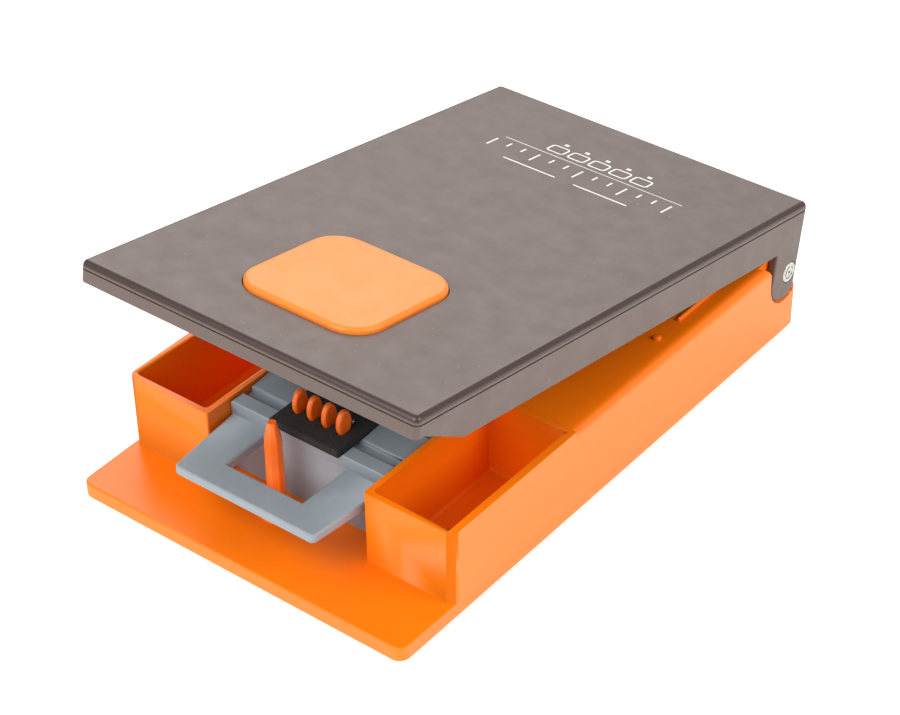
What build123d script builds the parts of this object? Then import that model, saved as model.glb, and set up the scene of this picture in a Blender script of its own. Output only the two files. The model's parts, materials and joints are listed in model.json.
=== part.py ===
"""Tape splicer for 8 mm cine film.

A housing with a front apron and two off-cut bins carries a film bed between the bins.
A lid turns on two pins at the back and carries a press button with its presser and knives.

Frame: +X right, +Y to the back, +Z up. The origin is on the table, under the middle of the
housing. Lid pieces are drawn with the lid shut and are then opened about the hinge axis.
"""
from build123d import *
import math
import os

# ---------------------------------------------------------------- driving dimensions (mm)
# housing
base_width = 85.0
base_length = 140.0
mat_thick = 1.0            # non-slip sheet under the housing
apron_depth = 16.2         # open shelf in front of the bins
apron_thick = 3.2
rim_height = 20.8          # top of the bins above the housing's underside
deck_drop = 0.4            # deck lies this far below the bin rims
plan_radius = 1.8          # the bins' front corners
rear_radius = 1.0          # the housing's two rear corners
apron_radius = 2.4         # the apron's two front corners
outer_wall = 1.7
bin_wall = 1.3
bin_floor = 2.0
bin_length = 40.2          # bins front to back, outside
gap_width = 41.0           # space between the bins
deck_edge_radius = 2.4
ridge_from_rear = 24.9     # ridges on the deck that keep a packet of splices in place
ridge_length = 14.7
ridge_width = 0.9
ridge_height = 0.8
ridge_from_side = 5.35
stud_from_ridge = 7.8
stud_radius = 0.9
level_reach = 0.01         # edges this near to a level belong to it
roof_thick = 2.0           # wall thickness of the deck
underside_recess = 1.2     # moulding is hollowed from below under the apron
# hinge
hinge_from_rear = 3.1
hinge_below_deck = 5.4
pin_radius = 1.8
pin_length = 9.0
pin_head_radius = 2.4
pin_head_thick = 0.8
pin_ring_outer = 1.57      # turned ring in the head's face
pin_ring_inner = 1.22
pin_centre_radius = 0.38
pin_mark_depth = 0.2
running_gap = 0.06
ear_gap = 0.35             # between each ear and the housing
ear_front_reach = 6.7      # ear edge in front of the hinge axis
ear_drop = 6.2             # ear's bottom below the hinge axis
ear_corner = 4.6
pocket_gap = 0.35
shoulder_radius = 2.8
# lid
lid_ajar = 10.2            # opening angle at rest, degrees
lid_inset = 0.1            # lid is this much narrower than the housing on each side
lid_front_inset = 2.0
lid_rear_overhang = 0.5
lid_height = 10.4          # lid's top above the bin rims
lid_gap = 0.3              # side skirt above the bin rims
lid_wall = 1.8
lid_top_thick = 2.0
lid_corner = 1.35
lid_edge_radius = 1.3
groove_below_top = 1.7
groove_size = 0.35
front_skirt_height = 4.9   # from the lid's top to the front skirt's lower edge
slope_start = 3.0          # skirt slopes down from here, behind the lid's front
slope_end = 15.4
rib_thick = 1.4
rib_depth = 2.6
# film bed
bed_side_gap = 0.3
bed_from_bins = 6.8        # bed's front wall behind the bins' front
tongue_reach = 19.5        # tongue in front of the bed's front wall
tongue_height = 17.0       # tongue's top above the housing's underside
tongue_thick = 2.3
tongue_front_width = 36.4
tongue_corner = 1.2
window_width = 19.8
window_bar = 6.7           # bar of the tongue in front of the window
track_rise = 3.2           # ribs above the tongue's top
rib_depth_y = 3.7
slot_depth_y = 2.7
slot_floor_rise = 1.7      # slot's floor above the tongue's top
bed_top_thick = 3.3
bed_wall = 1.8
rail_height = 1.9          # rear guide rail above the ribs
rail_thick = 1.8
bed_screw_from_side = 7.7
# splice parts
fin_pitch = 3.81           # step of the fins and of the pins behind them
film_channel = 8.1
pad_width = 17.9
pad_proud = 0.9            # pad stands in front of the bed's wall
pad_height = 21.6          # pad's top above the housing's underside
pad_thick = 1.9
fit_gap = 0.15
fin_count = 4
fin_thick = 1.3
fin_depth = 3.0
fin_height = 4.5           # above the pad
fin_bulge = 0.5
bar_thick = 2.0
reg_pin_radius = 0.42
reg_pin_rise = 0.9
reg_pin_from_edge = 1.05   # perforation row in from the film's edge
post_x = -3.2
post_from_bins = 0.6       # post's axis behind the bins' front
post_radius = 2.1
post_neck_radius = 1.95     # below the cone
post_tip_radius = 0.95
post_height = 26.6         # tip above the housing's underside
post_cone = 4.2
post_sides = 8
post_boss_radius = 3.4
post_boss_height = 1.2
post_spigot = 1.5
# button and presser
button_width = 33.3
button_depth = 32.8
button_from_front = 30.75  # button's centre behind the lid's front
button_corner = 7.5
button_rise = 1.15
button_edge_radius = 0.9
button_skin = 2.0
button_wall = 1.5
button_skirt = 2.8         # below the lid's top
button_flange = 1.0
button_gap = 0.25
button_travel = 1.3
knife_gap = 0.35           # between each knife and the pad
presser_front_reach = 0.6  # presser in front of the pad
presser_gap = 1.6          # presser's face above the pad, lid shut
face_thick = 1.2
slot_side_gap = 0.45
slot_end_gap = 1.8
knife_thick = 0.4
knife_drop = 0.5           # edge below the presser's face
knife_height = 4.6
knife_inset = 1.1           # knife is shorter than the presser at each end
knife_bevel = 0.32
retainer_thick = 1.4
retainer_drop = 6.2        # retainer's top below the lid's top
retainer_inset = 2.4       # retainer is shorter than the button at each end
retainer_screw_step = 19.7  # between a side's two screws
spring_radius = 1.4
spring_wire = 0.4
spring_turns = 4
spring_from_side = 6.4     # in from the button's sides
spring_gap = 0.1
# screws
screw_shank_radius = 1.2
screw_head_radius = 2.3
screw_head_height = 0.65
screw_seat_height = 1.4    # counterbore in the housing for a bed screw's head
screw_clearance = 0.1
cross_width = 0.6          # of the recess in the head
cross_depth = 0.33
cover_screw_length = 8.0
cover_screw_from_side = 6.0
cover_screw_from_front = 6.0
cover_screw_from_rear = 18.0
bed_screw_length = 10.0
retainer_screw_length = 5.0
block_screw_from_side = 3.4
block_screw_from_rear = 2.7
pin_bar_width = 1.8
knife_screw_radius = 0.6
knife_screw_length = 1.7
knife_screw_head = 1.1
knife_screw_step = 9.7
boss_radius = 3.0
# floor plate and non-slip sheet
cover_thick = 1.6
cover_gap = 0.25
cover_rib_step = 28.6
mat_margin = 7.0

# ---------------------------------------------------------------- levels and places
half_width = base_width / 2
front_y = -base_length / 2
rear_y = base_length / 2
under_z = mat_thick
apron_z = under_z + apron_thick
rim_z = under_z + rim_height
deck_z = rim_z - deck_drop
bin_front_y = front_y + apron_depth
bin_rear_y = bin_front_y + bin_length
hinge_y = rear_y - hinge_from_rear
hinge_z = deck_z - hinge_below_deck
half_gap = gap_width / 2

lid_half = half_width - lid_inset
lid_front_y = front_y + lid_front_inset
lid_rear_y = rear_y + lid_rear_overhang
lid_z = rim_z + lid_height
skirt_z = rim_z + lid_gap
lid_roof_z = lid_z - lid_top_thick
ear_inner = lid_half - lid_wall
pocket_x = ear_inner - ear_gap

bed_y = bin_front_y + bed_from_bins
bed_rear_y = bin_rear_y
bed_half = half_gap - bed_side_gap
tongue_z = under_z + tongue_height
track_z = tongue_z + track_rise
bed_under_z = tongue_z - bed_top_thick
bed_screw_x = bed_half - bed_screw_from_side
slot_y = bed_y + rib_depth_y
slot_z = tongue_z + slot_floor_rise

pad_z = under_z + pad_height
pad_y = bed_y - pad_proud
fin_y = slot_y + fin_depth / 2 - fit_gap
film_y = fin_y + fin_depth / 2 + fit_gap
rail_y = film_y + film_channel
pad_rear_y = rail_y - fit_gap
pad_floor_z = pad_z - pad_thick
bar_z = pad_floor_z - bar_thick
pin_row_y = film_y + reg_pin_from_edge
post_y = bin_front_y + post_from_bins
post_z = under_z + post_height

button_y = lid_front_y + button_from_front
button_z = lid_z + button_rise
button_under_z = button_z - button_skin
flange_z = lid_z - button_skirt
presser_z = pad_z + presser_gap
presser_y = pad_y - presser_front_reach
presser_rear_y = rail_y - presser_front_reach
presser_half = pad_width / 2 + knife_gap
retainer_z = lid_z - retainer_drop
retainer_half = button_width / 2 + button_flange + 2 * button_gap + 2 * boss_radius
retainer_reach = button_depth / 2 - retainer_inset
fin_spots = [((i - (fin_count - 1) / 2) * fin_pitch) for i in range(fin_count)]

hinge_axis = Axis((0, hinge_y, hinge_z), (1, 0, 0))


def save(piece, name):
    """Label one finished piece and write its file."""
    piece.label = name
    export_step(piece, f"parts/{name}.step")


def save_on_lid(piece, name):
    """Open a piece that was drawn on the shut lid, then write it."""
    save(piece.rotate(hinge_axis, -lid_ajar), name)


os.makedirs("parts", exist_ok=True)

# screw places, as (x, y)
cover_front_y = bin_rear_y + roof_thick
cover_rear_y = rear_y - outer_wall
cover_half = half_width - outer_wall
cover_middle_y = (cover_front_y + cover_rear_y) / 2
cover_screw_spots = [
    (side * (cover_half - cover_screw_from_side), y)
    for side in (-1, 1)
    for y in (cover_front_y + cover_screw_from_front, cover_rear_y - cover_screw_from_rear)
]
bed_screw_spots = [(side * bed_screw_x, (rail_y + bed_rear_y) / 2) for side in (-1, 1)]
retainer_screw_spots = [
    (side * (retainer_half - boss_radius), button_y + end * retainer_screw_step / 2)
    for side in (-1, 1)
    for end in (-1, 1)
]
spring_front_y = (button_y - button_depth / 2 + button_wall + presser_y) / 2
spring_rear_y = (button_y + button_depth / 2 - button_wall + presser_rear_y) / 2
spring_spots = [
    (side * (button_width / 2 - spring_from_side), y)
    for side in (-1, 1)
    for y in (spring_front_y, spring_rear_y)
]

# ---------------------------------------------------------------- housing
with BuildPart() as base_housing:
    # apron level, with its own front corners
    with BuildSketch(Plane.XY.offset(under_z)):
        Rectangle(base_width, base_length)
    extrude(amount=apron_thick)
    fillet(base_housing.edges().filter_by(Axis.Z).group_by(Axis.Y)[0], apron_radius)
    # body of bins and deck
    with BuildSketch(Plane.XY.offset(under_z)):
        with Locations((0, (bin_front_y + rear_y) / 2)):
            body = Rectangle(base_width, rear_y - bin_front_y)
        fillet(body.vertices().group_by(Axis.Y)[0], plan_radius)
    extrude(amount=rim_height)
    fillet(base_housing.edges().filter_by(Axis.Z).group_by(Axis.Y)[-1], rear_radius)
    # the deck lies a little below the rims
    with BuildSketch(Plane.XY.offset(deck_z)):
        with Locations((0, (bin_rear_y + rear_y) / 2)):
            Rectangle(2 * base_width, rear_y - bin_rear_y)
    extrude(amount=deck_drop, mode=Mode.SUBTRACT)
    # rounded long edges and back edge of the deck
    long_edges = base_housing.edges().filter_by(Axis.Y)
    deck_edges = long_edges.filter_by_position(Axis.Z, deck_z - level_reach, deck_z + level_reach)
    fillet(deck_edges.group_by(Axis.X)[0] + deck_edges.group_by(Axis.X)[-1], deck_edge_radius)
    # space between the bins
    with BuildSketch(Plane.XY.offset(apron_z)):
        with Locations((0, (front_y + bin_rear_y) / 2)):
            Rectangle(gap_width, bin_rear_y - front_y)
    extrude(amount=rim_height, mode=Mode.SUBTRACT)
    # inside of the bins
    bin_inner = half_gap + bin_wall
    bin_outer = half_width - outer_wall
    with BuildSketch(Plane.XY.offset(under_z + bin_floor)):
        for side in (-1, 1):
            with Locations((side * (bin_inner + bin_outer) / 2, (bin_front_y + bin_rear_y) / 2)):
                Rectangle(bin_outer - bin_inner, bin_length - 2 * bin_wall)
    extrude(amount=rim_height, mode=Mode.SUBTRACT)
    # hollow under the deck
    with BuildSketch(Plane.XY.offset(under_z)):
        with Locations((0, cover_middle_y)):
            Rectangle(2 * cover_half, cover_rear_y - cover_front_y)
    extrude(amount=deck_z - roof_thick - under_z, mode=Mode.SUBTRACT)
    # shallow hollow under the apron and the bed's floor
    with BuildSketch(Plane.XY.offset(under_z)):
        with Locations((0, (front_y + bin_front_y) / 2)):
            Rectangle(base_width - 2 * outer_wall, apron_depth - 2 * outer_wall)
        with Locations((0, (bin_front_y + bed_y) / 2)):
            Rectangle(gap_width - 2 * bin_wall, bed_y - bin_front_y + 2 * outer_wall)
    extrude(amount=underside_recess, mode=Mode.SUBTRACT)
    # bosses for the floor plate's screws
    with BuildSketch(Plane.XY.offset(under_z + cover_thick)):
        with Locations(*cover_screw_spots):
            Circle(boss_radius)
    extrude(until=Until.NEXT)
    with BuildSketch(Plane.XY.offset(under_z)):
        with Locations(*cover_screw_spots):
            Circle(screw_shank_radius + screw_clearance)
    extrude(amount=rim_height - 2 * roof_thick, mode=Mode.SUBTRACT)
    # holes for the bed's screws, counterbored from below
    with BuildSketch(Plane.XY.offset(under_z)):
        with Locations(*bed_screw_spots):
            Circle(screw_head_radius + 2 * screw_clearance)
    extrude(amount=screw_seat_height, mode=Mode.SUBTRACT)
    with BuildSketch(Plane.XY.offset(under_z)):
        with Locations(*bed_screw_spots):
            Circle(screw_shank_radius + screw_clearance)
    extrude(amount=apron_thick, mode=Mode.SUBTRACT)
    # boss and hole of the post
    with BuildSketch(Plane.XY.offset(apron_z)):
        with Locations((post_x, post_y)):
            Circle(post_boss_radius)
    extrude(amount=post_boss_height)
    with BuildSketch(Plane.XY.offset(apron_z + post_boss_height - post_spigot)):
        with Locations((post_x, post_y)):
            Circle(post_tip_radius + screw_clearance)
    extrude(amount=post_spigot, mode=Mode.SUBTRACT)
    # ridges and studs on the deck
    ridge_y = rear_y - ridge_from_rear - ridge_length / 2
    for side in (-1, 1):
        ridge_x = side * (half_width - ridge_from_side)
        with BuildSketch(Plane.XY.offset(deck_z)):
            with Locations((ridge_x, ridge_y)):
                SlotOverall(ridge_length, ridge_width, rotation=90)
            with Locations((ridge_x, ridge_y - ridge_length / 2 - stud_from_ridge)):
                Circle(stud_radius)
        extrude(amount=ridge_height)
    # pockets in the sides for the lid's ears with a wall behind, and the holes of the pins
    ear_corner_reach = math.hypot(ear_front_reach - ear_corner, ear_drop - ear_corner)
    pocket_radius = ear_corner + ear_corner_reach + pocket_gap
    # the ear's front corner sweeps the round part; below its farthest place the pocket follows the ear
    sweep_z = hinge_z - pocket_radius * (ear_drop - ear_corner) / ear_corner_reach
    ear_length = ear_front_reach + hinge_from_rear + lid_rear_overhang
    pocket_wall_x = pocket_x - outer_wall
    pocket_wall_y = hinge_y - pocket_radius - outer_wall
    with BuildSketch(Plane.XY.offset(under_z + cover_thick)):
        for side in (-1, 1):
            with Locations((side * (pocket_wall_x + cover_half) / 2, (pocket_wall_y + cover_rear_y) / 2)):
                Rectangle(cover_half - pocket_wall_x, cover_rear_y - pocket_wall_y)
    extrude(until=Until.NEXT)
    for side in (-1, 1):
        with BuildSketch(Plane.YZ.offset(side * half_width)):
            with Locations((hinge_y, hinge_z)):
                Circle(pocket_radius)
                Rectangle(
                    base_length, base_length, align=(Align.MIN, Align.CENTER), mode=Mode.SUBTRACT
                )
            with Locations((hinge_y, sweep_z)):
                Rectangle(
                    base_length, base_length, align=(Align.CENTER, Align.MAX), mode=Mode.SUBTRACT
                )
            with Locations((hinge_y - ear_front_reach + ear_length / 2, hinge_z)):
                RectangleRounded(
                    ear_length + 2 * pocket_gap, 2 * (ear_drop + pocket_gap), ear_corner + pocket_gap
                )
            with Locations((hinge_y, hinge_z + base_length / 2)):
                Rectangle(2 * pocket_radius, base_length)
            with Locations((hinge_y + pocket_radius, hinge_z + base_length / 2 - ear_drop + ear_corner)):
                Rectangle(2 * pocket_radius, base_length)
            # the deck's side ends in a round shoulder in front of the ear
            with Locations((hinge_y - pocket_radius - shoulder_radius / 2, deck_z - shoulder_radius / 2)):
                Rectangle(shoulder_radius, shoulder_radius)
            with Locations((hinge_y - pocket_radius - shoulder_radius, deck_z - shoulder_radius)):
                Circle(shoulder_radius, mode=Mode.SUBTRACT)
        extrude(amount=-side * (half_width - pocket_x), mode=Mode.SUBTRACT)
        with BuildSketch(Plane.YZ.offset(side * pocket_x)):
            with Locations((hinge_y, hinge_z)):
                Circle(hinge_from_rear)
        extrude(amount=-side * (pin_length - lid_wall))
        with BuildSketch(Plane.YZ.offset(side * pocket_x)):
            with Locations((hinge_y, hinge_z)):
                Circle(pin_radius)
        extrude(amount=-side * (pin_length + 1), mode=Mode.SUBTRACT)

save(base_housing.part, "base_housing")

# ---------------------------------------------------------------- floor plate and sheet
with BuildPart() as bottom_cover:
    with BuildSketch(Plane.XY.offset(under_z)):
        with Locations((0, cover_middle_y)):
            Rectangle(2 * (cover_half - cover_gap), cover_rear_y - cover_front_y - 2 * cover_gap)
    extrude(amount=cover_thick - screw_clearance)
    with BuildSketch(Plane.XY.offset(under_z)):
        with Locations(*cover_screw_spots):
            Circle(screw_shank_radius + screw_clearance)
    extrude(amount=cover_thick, mode=Mode.SUBTRACT)
    with BuildSketch(Plane.XY.offset(under_z)):
        with Locations(*cover_screw_spots):
            Circle(screw_head_radius + screw_clearance)
    extrude(amount=screw_head_height, mode=Mode.SUBTRACT)
    # stiffening ribs on the inside
    with BuildSketch(Plane.XY.offset(under_z + cover_thick - screw_clearance)):
        with GridLocations(cover_rib_step, 0, 2, 1):
            with Locations((0, cover_middle_y)):
                Rectangle(rib_thick, (cover_rear_y - cover_front_y) / 2)
    extrude(amount=rib_depth)
save(bottom_cover.part, "bottom_cover")

with BuildPart() as non_slip_sheet:
    with BuildSketch():
        RectangleRounded(base_width - 2 * mat_margin, base_length - 2 * mat_margin, plan_radius)
    extrude(amount=mat_thick)
save(non_slip_sheet.part, "non_slip_sheet")


def screw_set(spots, head_z, length):
    """Pan-head screws with a cross recess, head at head_z and shank upwards."""
    with BuildPart() as screws:
        with BuildSketch(Plane.XY.offset(head_z)):
            with Locations(*spots):
                Circle(screw_head_radius)
        extrude(amount=screw_head_height)
        with BuildSketch(Plane.XY.offset(head_z)):
            with Locations(*spots):
                Circle(screw_shank_radius)
        extrude(amount=length)
        with BuildSketch(Plane.XY.offset(head_z)):
            with Locations(*spots):
                Rectangle(2 * screw_shank_radius, cross_width)
                Rectangle(cross_width, 2 * screw_shank_radius)
        extrude(amount=cross_depth, mode=Mode.SUBTRACT)
    return screws.part


save(screw_set(cover_screw_spots, under_z, cover_screw_length), "cover_screws")

# ---------------------------------------------------------------- film bed
bed_middle_y = (bed_y + bed_rear_y) / 2
with BuildPart() as film_bed:
    # thick top with the film track, from the front wall to the back of the gap
    with BuildSketch(Plane.YZ.offset(-bed_half)):
        with BuildLine():
            Polyline(
                (bed_y, bed_under_z),
                (bed_y, track_z),
                (slot_y, track_z),
                (slot_y, slot_z),
                (slot_y + slot_depth_y, slot_z),
                (slot_y + slot_depth_y, track_z),
                (rail_y, track_z),
                (rail_y, track_z + rail_height),
                (rail_y + rail_thick, track_z + rail_height),
                (rail_y + rail_thick, track_z),
                (bed_rear_y - bed_side_gap, track_z),
                (bed_rear_y - bed_side_gap, bed_under_z),
                close=True,
            )
        make_face()
    extrude(amount=2 * bed_half)
    # skirt walls down to the housing's floor
    with BuildSketch(Plane.XY.offset(apron_z)):
        with Locations((0, bed_middle_y - bed_side_gap / 2)):
            Rectangle(2 * bed_half, bed_rear_y - bed_y - bed_side_gap)
            Rectangle(
                2 * (bed_half - bed_wall),
                bed_rear_y - bed_y - bed_side_gap - 2 * bed_wall,
                mode=Mode.SUBTRACT,
            )
        with Locations(*bed_screw_spots):
            Circle(boss_radius)
    extrude(amount=bed_under_z - apron_z)
    # tongue: a flat frame that narrows to the front
    with BuildSketch(Plane.XY.offset(tongue_z)):
        with BuildLine():
            Polyline(
                (-bed_half, bed_y + bed_wall),
                (-bed_half, bed_y),
                (-tongue_front_width / 2, bed_y - tongue_reach),
                (tongue_front_width / 2, bed_y - tongue_reach),
                (bed_half, bed_y),
                (bed_half, bed_y + bed_wall),
                close=True,
            )
        tongue = make_face()
        fillet(tongue.vertices().group_by(Axis.Y)[0], tongue_corner)
    extrude(amount=-tongue_thick)
    # window in the tongue, open to the bed's front wall
    window_depth = tongue_reach - window_bar
    with BuildSketch(Plane.XY.offset(tongue_z)):
        with Locations((0, bed_y - window_depth / 2)):
            Rectangle(window_width, window_depth)
    extrude(amount=-tongue_thick, mode=Mode.SUBTRACT)
    # recess for the pad, open to the front, and the pocket for comb and pin bar below it
    with BuildSketch(Plane.XY.offset(pad_floor_z)):
        with Locations((0, (bed_y - bed_wall + rail_y) / 2)):
            Rectangle(pad_width + 2 * fit_gap, rail_y - bed_y + bed_wall)
    extrude(amount=track_z - pad_floor_z, mode=Mode.SUBTRACT)
    comb_half = (fin_count - 1) / 2 * fin_pitch + 1.5 * fin_thick
    with BuildSketch(Plane.XY.offset(pad_floor_z)):
        with Locations((0, (fin_y + pin_row_y) / 2)):
            Rectangle(2 * (comb_half + fit_gap), pin_row_y - fin_y + fin_depth + 2 * fit_gap)
    extrude(amount=-bar_thick, mode=Mode.SUBTRACT)
    # pilot holes of the two screws
    with BuildSketch(Plane.XY.offset(apron_z)):
        with Locations(*bed_screw_spots):
            Circle(screw_shank_radius + screw_clearance)
    extrude(amount=bed_screw_length, mode=Mode.SUBTRACT)
save(film_bed.part, "film_bed")
save(screw_set(bed_screw_spots, under_z, bed_screw_length), "bed_screws")

# ---------------------------------------------------------------- splice pad, comb and pins
with BuildPart() as splice_pad:
    with BuildSketch(Plane.XY.offset(pad_floor_z)):
        with Locations((0, (pad_y + pad_rear_y) / 2)):
            Rectangle(pad_width, pad_rear_y - pad_y)
    extrude(amount=pad_thick)
    # slots for the fins and holes for the registration pins
    with BuildSketch(Plane.XY.offset(pad_floor_z)):
        with Locations(*[(x, fin_y) for x in fin_spots]):
            Rectangle(fin_thick + 2 * fit_gap, fin_depth + 2 * fit_gap)
        with Locations(*[(x, pin_row_y) for x in fin_spots]):
            Circle(reg_pin_radius + fit_gap)
    extrude(amount=pad_thick, mode=Mode.SUBTRACT)
save(splice_pad.part, "splice_pad")

with BuildPart() as guide_comb:
    with BuildSketch(Plane.XY.offset(bar_z)):
        with Locations((0, fin_y)):
            Rectangle(2 * comb_half, fin_depth)
    extrude(amount=bar_thick)
    # each fin: straight through the pad, then a round-nosed blade
    for x in fin_spots:
        with BuildSketch(Plane.YZ.offset(x - fin_thick / 2)):
            with Locations((fin_y, (pad_floor_z + pad_z) / 2)):
                Rectangle(fin_depth, pad_thick)
            with Locations((fin_y, pad_z + fin_height / 2)):
                Ellipse(fin_depth / 2 + fin_bulge, fin_height / 2 + fin_bulge)
            with Locations((fin_y, pad_floor_z)):
                Rectangle(2 * fin_depth, 2 * pad_thick, align=(Align.CENTER, Align.MAX), mode=Mode.SUBTRACT)
        extrude(amount=fin_thick)
save(guide_comb.part, "guide_comb")

with BuildPart() as registration_pins:
    with BuildSketch(Plane.XY.offset(bar_z)):
        with Locations((0, pin_row_y)):
            Rectangle(2 * comb_half, pin_bar_width)
    extrude(amount=bar_thick)
    with BuildSketch(Plane.XY.offset(bar_z + bar_thick)):
        with Locations(*[(x, pin_row_y) for x in fin_spots]):
            Circle(reg_pin_radius)
    extrude(amount=pad_thick + reg_pin_rise)
    fillet(registration_pins.edges().group_by(Axis.Z)[-1], reg_pin_radius / 2)
save(registration_pins.part, "registration_pins")

# ---------------------------------------------------------------- guide post
with BuildPart() as guide_post:
    foot_z = apron_z + post_boss_height
    with BuildSketch(Plane.XY.offset(foot_z)):
        with Locations((post_x, post_y)):
            RegularPolygon(post_radius, post_sides, rotation=180 / post_sides)
    with BuildSketch(Plane.XY.offset(post_z - post_cone)):
        with Locations((post_x, post_y)):
            RegularPolygon(post_neck_radius, post_sides, rotation=180 / post_sides)
    loft()
    with BuildSketch(Plane.XY.offset(post_z - post_cone)):
        with Locations((post_x, post_y)):
            RegularPolygon(post_neck_radius, post_sides, rotation=180 / post_sides)
    with BuildSketch(Plane.XY.offset(post_z)):
        with Locations((post_x, post_y)):
            RegularPolygon(post_tip_radius, post_sides, rotation=180 / post_sides)
    loft()
    # spigot that sits in the boss
    with BuildSketch(Plane.XY.offset(foot_z)):
        with Locations((post_x, post_y)):
            Circle(post_tip_radius)
    extrude(amount=-post_spigot)
save(guide_post.part, "guide_post")

# ---------------------------------------------------------------- hinge pins
with BuildPart() as hinge_pins:
    for side in (-1, 1):
        with BuildSketch(Plane.YZ.offset(side * (lid_half - pin_head_thick))):
            with Locations((hinge_y, hinge_z)):
                Circle(pin_head_radius)
        extrude(amount=side * pin_head_thick)
        with BuildSketch(Plane.YZ.offset(side * (lid_half - pin_head_thick))):
            with Locations((hinge_y, hinge_z)):
                Circle(pin_radius)
        extrude(amount=-side * pin_length)
        # turned ring and centre mark on the head
        with BuildSketch(Plane.YZ.offset(side * lid_half)):
            with Locations((hinge_y, hinge_z)):
                Circle(pin_ring_outer)
                Circle(pin_ring_inner, mode=Mode.SUBTRACT)
                Circle(pin_centre_radius)
        extrude(amount=-side * pin_mark_depth, mode=Mode.SUBTRACT)
save(hinge_pins.part, "hinge_pins")

# ---------------------------------------------------------------- lid shell, drawn shut
lid_middle_y = (lid_front_y + lid_rear_y) / 2
lid_length = lid_rear_y - lid_front_y
front_skirt_z = lid_z - front_skirt_height
ear_y = hinge_y - ear_front_reach
ear_z = hinge_z - ear_drop
with BuildPart() as lid_shell:
    # side view: shallow front, sloped skirt, long straight skirt and the ears
    with BuildSketch(Plane.YZ.offset(-lid_half)):
        with BuildLine():
            Polyline(
                (lid_front_y, lid_z),
                (lid_front_y, front_skirt_z),
                (lid_front_y + slope_start, front_skirt_z),
                (lid_front_y + slope_end, skirt_z),
                (ear_y, skirt_z),
                (ear_y, ear_z),
                (lid_rear_y, ear_z),
                (lid_rear_y, lid_z),
                close=True,
            )
        side_view = make_face()
        fillet(side_view.vertices().group_by(Axis.Y)[0], ear_corner)
    extrude(amount=2 * lid_half)
    # plan view with round corners
    with BuildSketch(Plane.XY.offset(ear_z)):
        with Locations((0, lid_middle_y)):
            RectangleRounded(2 * lid_half, lid_length, lid_corner)
    extrude(amount=lid_z - ear_z, mode=Mode.INTERSECT)
    fillet(lid_shell.faces().sort_by(Axis.Z)[-1].edges(), lid_edge_radius)
    # fine groove all round below the top edge
    with BuildSketch(Plane.XY.offset(lid_z - groove_below_top - groove_size)):
        with Locations((0, lid_middle_y)):
            Rectangle(base_width, base_length + base_width)
            RectangleRounded(
                2 * (lid_half - groove_size),
                lid_length - 2 * groove_size,
                lid_corner - groove_size,
                mode=Mode.SUBTRACT,
            )
    extrude(amount=groove_size, mode=Mode.SUBTRACT)
    # hollow from below, and open between the ears under the back wall
    with BuildSketch(Plane.XY.offset(ear_z)):
        with Locations((0, lid_middle_y)):
            RectangleRounded(2 * ear_inner, lid_length - 2 * lid_wall, lid_corner / 2)
    extrude(amount=lid_roof_z - ear_z, mode=Mode.SUBTRACT)
    with BuildSketch(Plane.XY.offset(ear_z)):
        with Locations((0, lid_rear_y - lid_wall)):
            Rectangle(2 * ear_inner, 4 * lid_wall)
    extrude(amount=skirt_z - ear_z, mode=Mode.SUBTRACT)
    # opening for the press button
    with BuildSketch(Plane.XY.offset(lid_roof_z)):
        with Locations((0, button_y)):
            RectangleRounded(
                button_width + 2 * button_gap,
                button_depth + 2 * button_gap,
                button_corner + button_gap,
            )
    extrude(amount=lid_top_thick, mode=Mode.SUBTRACT)
    # bosses for the retainer's screws
    with BuildSketch(Plane.XY.offset(retainer_z)):
        with Locations(*retainer_screw_spots):
            Circle(boss_radius)
            Circle(screw_shank_radius + screw_clearance, mode=Mode.SUBTRACT)
    extrude(amount=lid_roof_z - retainer_z)
    # stiffening ribs behind the button
    rib_start_y = button_y + button_depth / 2 + 4 * boss_radius
    rib_end_y = lid_rear_y - 4 * boss_radius
    with BuildSketch(Plane.XY.offset(lid_roof_z)):
        with Locations((0, (rib_start_y + rib_end_y) / 2)):
            with GridLocations(lid_half / 1.5, 0, 3, 1):
                Rectangle(rib_thick, rib_end_y - rib_start_y)
            with GridLocations(0, (rib_end_y - rib_start_y) / 2, 1, 2):
                Rectangle(2 * ear_inner, rib_thick)
    extrude(amount=-rib_depth)
    # hinge holes, counterbored for the heads of the pins
    for side in (-1, 1):
        with BuildSketch(Plane.YZ.offset(side * lid_half)):
            with Locations((hinge_y, hinge_z)):
                Circle(pin_head_radius + fit_gap)
        extrude(amount=-side * (pin_head_thick + screw_clearance), mode=Mode.SUBTRACT)
        with BuildSketch(Plane.YZ.offset(side * lid_half)):
            with Locations((hinge_y, hinge_z)):
                Circle(pin_radius + running_gap)
        extrude(amount=-side * 2 * lid_wall, mode=Mode.SUBTRACT)
save_on_lid(lid_shell.part, "lid_shell")

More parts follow.
